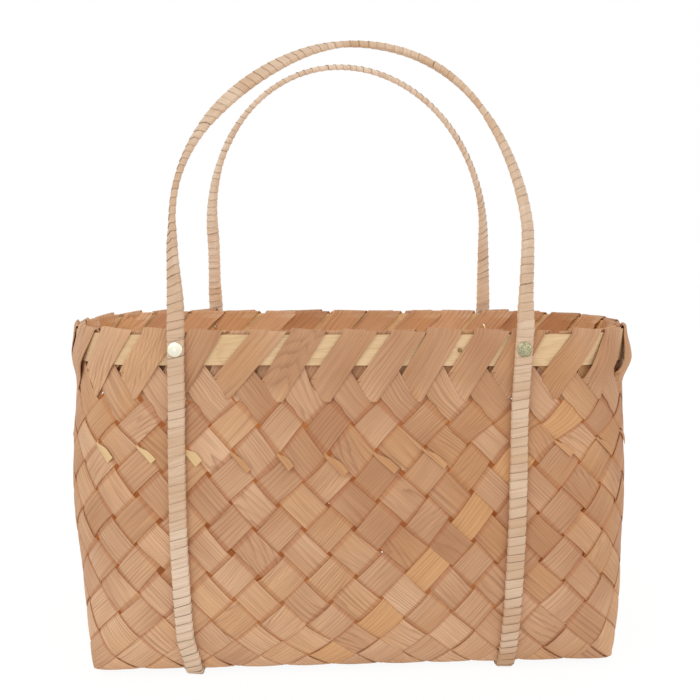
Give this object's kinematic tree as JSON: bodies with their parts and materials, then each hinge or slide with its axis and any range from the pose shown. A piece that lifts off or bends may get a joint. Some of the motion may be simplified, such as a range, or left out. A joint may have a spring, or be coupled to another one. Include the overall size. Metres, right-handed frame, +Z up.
{
  "type": "woven planter bag",
  "caption": "Plaited wood-splint planter bag with a lath-bound rim, splint ends folded over it, wound straps under the base and tall arched handles.",
  "frame": {"origin": "middle of the bag's plan, in the plane that the undersides of its straps stand on", "axes": "+Z up, -Y towards the front, +X along the length, to the right when seen from the front"},
  "size_m": [0.4904, 0.2336, 0.5211],
  "materials": {
    "splint": "bare shaved wood splint, satin, with fine grain",
    "lath": "smooth bare lath",
    "winding": "thin pale splint wound over a flat core",
    "brass": "domed head, lightly tarnished"
  },
  "bodies": {
    "basket": {"woven_body": "splint", "outer_rim_band": "lath", "inner_rim_band": "lath", "splint_end_01": "splint", "splint_end_02": "splint", "splint_end_03": "splint", "splint_end_04": "splint", "splint_end_05": "splint", "splint_end_06": "splint", "splint_end_07": "splint", "splint_end_08": "splint", "splint_end_09": "splint", "splint_end_10": "splint", "splint_end_11": "splint", "splint_end_12": "splint", "splint_end_13": "splint", "splint_end_14": "splint", "splint_end_15": "splint", "splint_end_16": "splint", "splint_end_17": "splint", "splint_end_18": "splint", "splint_end_19": "splint", "splint_end_20": "splint", "splint_end_21": "splint", "splint_end_22": "splint", "splint_end_23": "splint", "splint_end_24": "splint", "splint_end_25": "splint", "splint_end_26": "splint", "splint_end_27": "splint", "splint_end_28": "splint", "splint_end_29": "splint", "splint_end_30": "splint", "splint_end_31": "splint", "splint_end_32": "splint", "strap_left": "winding", "strap_right": "winding", "nail_front_left": "brass", "nail_front_right": "brass", "nail_back_left": "brass", "nail_back_right": "brass", "band_nail": "brass"},
    "front_handle": {"handle_front": "winding"},
    "back_handle": {"handle_back": "winding"}
  },
  "joints": [
    {"name": "front_handle_flex", "type": "hinge", "parent": "basket", "child": "front_handle", "pos_m": [0, -0.09725, 0.2808], "axis": [-1, 0, 0], "range_deg": [-30, 12], "stiffness_Nm_per_rad": 1},
    {"name": "back_handle_flex", "type": "hinge", "parent": "basket", "child": "back_handle", "pos_m": [0, 0.09725, 0.2808], "axis": [1, 0, 0], "range_deg": [-30, 7.5], "stiffness_Nm_per_rad": 1}
  ]
}
